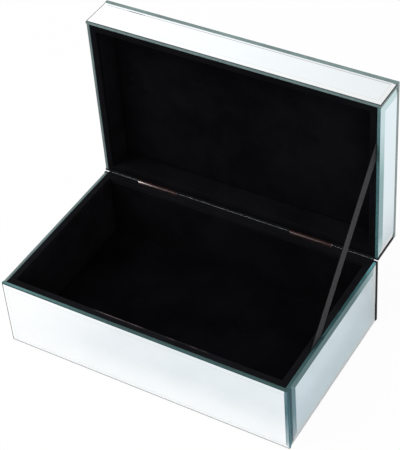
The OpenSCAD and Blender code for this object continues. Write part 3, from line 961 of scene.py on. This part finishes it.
def hinge_edging():
    """Cut edge of the rim cloth that fills the slit along the hinge line, between the hinges.

    Each run is a bead on a flat tail that lies on the rim; the bead's pale colour is a painted
    highlight."""
    tail_y, tail_t = BOARD_BACK_Y, 0.1 * MM
    bead_r = 0.32 * MM
    ends = [-EDGING_END]
    for hinge_low, hinge_high in HINGES:
        ends += [hinge_low.x - HINGE_ROOM, hinge_high.x + HINGE_ROOM]
    ends.append(EDGING_END)
    for k, (x0, x1) in enumerate(zip(ends[::2], ends[1::2])):
        verts, faces, face_mats = [], [], []
        n = round((x1 - x0) / (1.5 * MM))
        for i in range(n + 1):
            x = x0 + (x1 - x0) * i / n
            r = bead_r - 0.03 * MM * max(0.0, noise.noise(Vector((x * 160, 4.4, k))))
            ring = [(tail_y, BASE_H), (BACK_Y - 0.15 * MM, BASE_H)]
            for j in range(BEAD_POINTS):
                t = math.radians(235 + 300 * j / (BEAD_POINTS - 1))
                ring.append((HINGE_Y + r * math.cos(t), HINGE_Z + r * math.sin(t)))
            ring += [(BACK_Y - 0.25 * MM, BASE_H + tail_t), (tail_y, BASE_H + tail_t)]
            m = len(ring)
            verts += [(x, y, z) for y, z in ring]
        for i in range(n):
            for p in range(m):
                a, b = i * m + p, i * m + (p + 1) % m
                faces.append((a, a + m, b + m, b))
                face_mats.append(0 if 1 <= p <= BEAD_POINTS else 1)
        faces.append(tuple(range(m)))
        faces.append(tuple(n * m + p for p in range(m - 1, -1, -1)))
        face_mats += [0, 0]
        name = "hinge_edging_%d" % (k + 1)
        run = add_piece(name, verts, faces, [EDGING, RIM_VELVET], face_mats, smooth=True)
        seat(run, "base", "velvet")


hinge_edging()

felt = soft_slab("felt_pad", node_box("base_felt"), NZ, NX, Y, FELT, edge_r=0.3 * MM, cell=8 * MM)
seat(felt, "base", "felt", "base_felt")

# ---------------------------------------------------------------- ribbon


def ribbon():
    """A taut woven strip with thicker selvedges, tucked behind the glass at both rims."""
    low = Vector((RIBBON_X, HINGE_Y - RIBBON_BASE_REACH, BASE_H))
    high = Vector((RIBBON_X, HINGE_Y + RIM_GAP / 2, HINGE_Z + RIBBON_LID_REACH))
    run = high - low
    forward = run.normalized()
    across = Vector((0, -forward.z, forward.y))
    side = Vector((1, 0, 0))
    length = run.length + 2 * RIBBON_TAB
    start = low - forward * RIBBON_TAB
    cells = 90
    half = RIBBON_W / 2
    t = RIBBON_T / 2
    # Its section: (across, thickness), thickest at the selvedges
    ring = [(-half, 0.0), (-half + 0.1 * MM, t), (-half + 0.55 * MM, t * 0.72)]
    ring += [(-half * 0.5, t * 0.66), (0, t * 0.66), (half * 0.5, t * 0.66)]
    ring += [(half - 0.55 * MM, t * 0.72), (half - 0.1 * MM, t), (half, 0.0)]
    ring += [(a, -b) for a, b in ring[-2:0:-1]]
    m = len(ring)
    verts, faces, uvs = [], [], []
    for k in range(cells + 1):
        s = length * k / cells
        for a, b in ring:
            fray = 0.04 * MM * noise.noise(Vector((s * 300, a * 400, 1.7)))
            verts.append(start + forward * s + across * (a + fray) + side * b)
            uvs.append((k / cells, (a + half) / RIBBON_W))
    for k in range(cells):
        for p in range(m):
            a, b = k * m + p, k * m + (p + 1) % m
            faces.append((a, b, b + m, a + m))
    faces.append(tuple(range(m - 1, -1, -1)))
    faces.append(tuple(cells * m + p for p in range(m)))
    obj = add_piece("ribbon", verts, faces, [RIBBON], smooth=True)
    layer = obj.data.uv_layers.new(name="weave")
    for loop in obj.data.loops:
        layer.data[loop.index].uv = uvs[loop.vertex_index]
    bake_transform(obj)
    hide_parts("ribbon_stay")


ribbon()

# ---------------------------------------------------------------- CAD nodes that stay

KEPT = {
    FIBREBOARD: (
        "base_bottom_board", "base_front_board", "base_back_board", "base_left_board",
        "base_right_board", "lid_top_board", "lid_front_board", "lid_back_board",
        "lid_left_board", "lid_right_board",
    ),
    BLACK_PAINT: ("base_back_panel", "lid_back_panel"),
    FOAM: ("base_mirror_tape", "lid_mirror_tape"),
    COPPER: (
        "left_hinge_base_leaf", "right_hinge_base_leaf", "left_hinge_lid_leaf",
        "right_hinge_lid_leaf", "left_hinge_pin", "right_hinge_pin",
    ),
    SCREW_METAL: ("base_hinge_screws", "lid_hinge_screws"),
}
for material, nodes in KEPT.items():
    for name in nodes:
        mesh = frame["nodes"][name].data
        mesh.materials.clear()
        mesh.materials.append(material)

# ---------------------------------------------------------------- floor, world and lamps

FLOOR_REACH = 3
FLOOR_SEEN_WHITE = 0.955
FLOOR_MIRRORED_WHITE = 0.9
# Where what the glass shows of the floor changes, from and to in metres, and by how much
FRONT_EDGE = (-0.082, -0.066)
LEFT_EDGE = (-0.150, -0.130)
RIGHT_NEAR, RIGHT_NEAR_SHARE = (0.138, 0.182), 0.82
RIGHT_FAR, RIGHT_FAR_SHARE = (0.190, 0.245), 0.14
RIGHT_REAR, RIGHT_REAR_SHARE = (0.040, 0.085), 0.10
RIGHT_FOOT = (0.133, 0.145)
FRONT_FOOT, FRONT_FOOT_SHARE = (-0.105, -0.080), 0.72
DIM_FROM_LEFT = (-0.150, -0.020)
DIM_TO_RIGHT = (0.110, 0.140)
DIM_TINT = (0.775, 0.815, 0.845)

quarters = ((-1, -1), (1, -1), (1, 1), (-1, 1))
floor_corners = [(x * FLOOR_REACH, y * FLOOR_REACH, 0) for x, y in quarters]
floor = add_piece("floor", floor_corners, [(0, 1, 2, 3)], [])
n = Nodes("floor")
n.set(Roughness=0.9, Specular_IOR_Level=0.1)
n.use("Base Color", n.ramp(n.noise(3, 3, 0.5), [(0.3, 0.90), (0.7, 0.93)]))
path = n.node("LightPath")
place = n.axes()
mirrored = n.larger(path.outputs["Is Glossy Ray"], path.outputs["Is Transmission Ray"])

# What the glass shows of the floor: a painted glow, bright in front, on the left, further right and
# in patches by the right foot, which leaves the floor's real shade close by the right
before_box = n.minus(1, n.fade(place["Y"], *FRONT_EDGE))
left_of_box = n.minus(1, n.fade(place["X"], *LEFT_EDGE))
right_near = n.times(n.fade(place["X"], *RIGHT_NEAR), RIGHT_NEAR_SHARE)
right_far = n.times(n.fade(place["X"], *RIGHT_FAR), RIGHT_FAR_SHARE)
patches = n.ramp(n.noise(24, 2, 0.5), [(0.38, 0.08), (0.62, 0.24)])
right_rear = n.times(n.fade(place["Y"], *RIGHT_REAR), RIGHT_REAR_SHARE)
right_foot = n.larger(n.times(n.fade(place["X"], *RIGHT_FOOT), patches), right_rear)
right_of_box = n.larger(n.plus(right_near, right_far), right_foot)
painted_glow = n.larger(before_box, n.larger(left_of_box, right_of_box))
share = n.plus(
    n.times(path.outputs["Is Camera Ray"], FLOOR_SEEN_WHITE),
    n.times(mirrored, n.times(painted_glow, FLOOR_MIRRORED_WHITE)),
)

# In front of the box the glow is a little darker and bluer towards the middle and the right:
# painted shade
away_from_foot = n.minus(1, n.times(n.fade(place["Y"], *FRONT_FOOT), FRONT_FOOT_SHARE))
towards_right = n.fade(place["X"], *DIM_FROM_LEFT)
in_front = n.minus(1, n.fade(place["X"], *DIM_TO_RIGHT))
dim = n.times(n.times(away_from_foot, towards_right), n.times(in_front, mirrored))
dim = n.times(dim, n.ramp(n.noise(20, 3, 0.55), [(0.35, 0.82), (0.6, 1.0)]))
glow = n.node("Emission")
n.link(n.mix(dim, (1, 1, 1), DIM_TINT), glow.inputs["Color"])
n.link(n.plus(1, n.times(mirrored, 0.05)), glow.inputs["Strength"])
blend = n.node("MixShader")
n.link(share, blend.inputs["Fac"])
n.link(n.shader.outputs["BSDF"], blend.inputs[1])
n.link(glow.outputs["Emission"], blend.inputs[2])
n.link(blend.outputs["Shader"], n.out.inputs["Surface"])
floor.data.materials.append(n.mat)

world = bpy.data.worlds.new("studio")
bpy.context.scene.world = world
world.use_nodes = True
tree = world.node_tree
background = tree.nodes["Background"]
WORLD_LIGHT = 0.55
# The studio as glass and metal show it: brighter on the left, from and to these directions' X
MIRRORED_LEFT, MIRRORED_REST = 1.10, 0.885
LEFT_FROM, LEFT_TO = -0.29, -0.50


def world_node(kind, **settings):
    node = tree.nodes.new("ShaderNode" + kind)
    for key, value in settings.items():
        setattr(node, key, value)
    return node


def world_mix(fac, a, b):
    """A number between a and b; each may be a socket or a constant."""
    m = world_node("Mix", data_type="FLOAT")
    for socket, value in zip(m.inputs[0:1] + m.inputs[2:4], (fac, a, b)):
        if isinstance(value, (int, float)):
            socket.default_value = value
        else:
            tree.links.new(value, socket)
    return m.outputs[0]


lp = world_node("LightPath")
direction = world_node("SeparateXYZ")
tree.links.new(world_node("TexCoord").outputs["Generated"], direction.inputs["Vector"])
leftness = world_node("MapRange", interpolation_type="SMOOTHSTEP")
tree.links.new(direction.outputs["X"], leftness.inputs["Value"])
leftness.inputs["From Min"].default_value = LEFT_FROM
leftness.inputs["From Max"].default_value = LEFT_TO
mirrored_level = world_mix(leftness.outputs["Result"], MIRRORED_REST, MIRRORED_LEFT)
level = world_mix(lp.outputs["Is Glossy Ray"], WORLD_LIGHT, mirrored_level)
level = world_mix(lp.outputs["Is Transmission Ray"], level, mirrored_level)
level = world_mix(lp.outputs["Is Camera Ray"], level, 1.0)
tree.links.new(level, background.inputs["Strength"])
background.inputs["Color"].default_value = (1, 1, 1, 1)


def lamp(name, at, aim, size, watts):
    data = bpy.data.lights.new(name, "AREA")
    data.shape = "RECTANGLE"
    data.size, data.size_y = size
    data.energy = watts
    obj = bpy.data.objects.new(name, data)
    obj.location = at
    obj.rotation_mode = "QUATERNION"
    obj.rotation_quaternion = (Vector(aim) - Vector(at)).to_track_quat("-Z", "Y")
    bpy.context.scene.collection.objects.link(obj)


LAMPS_AIM = (0, 0, 0.06)
lamp("key", at=(-1.3, -0.9, 1.7), aim=LAMPS_AIM, size=(1.2, 1.0), watts=22)
lamp("top", at=(0.1, -0.1, 2.2), aim=LAMPS_AIM, size=(1.4, 1.4), watts=9)
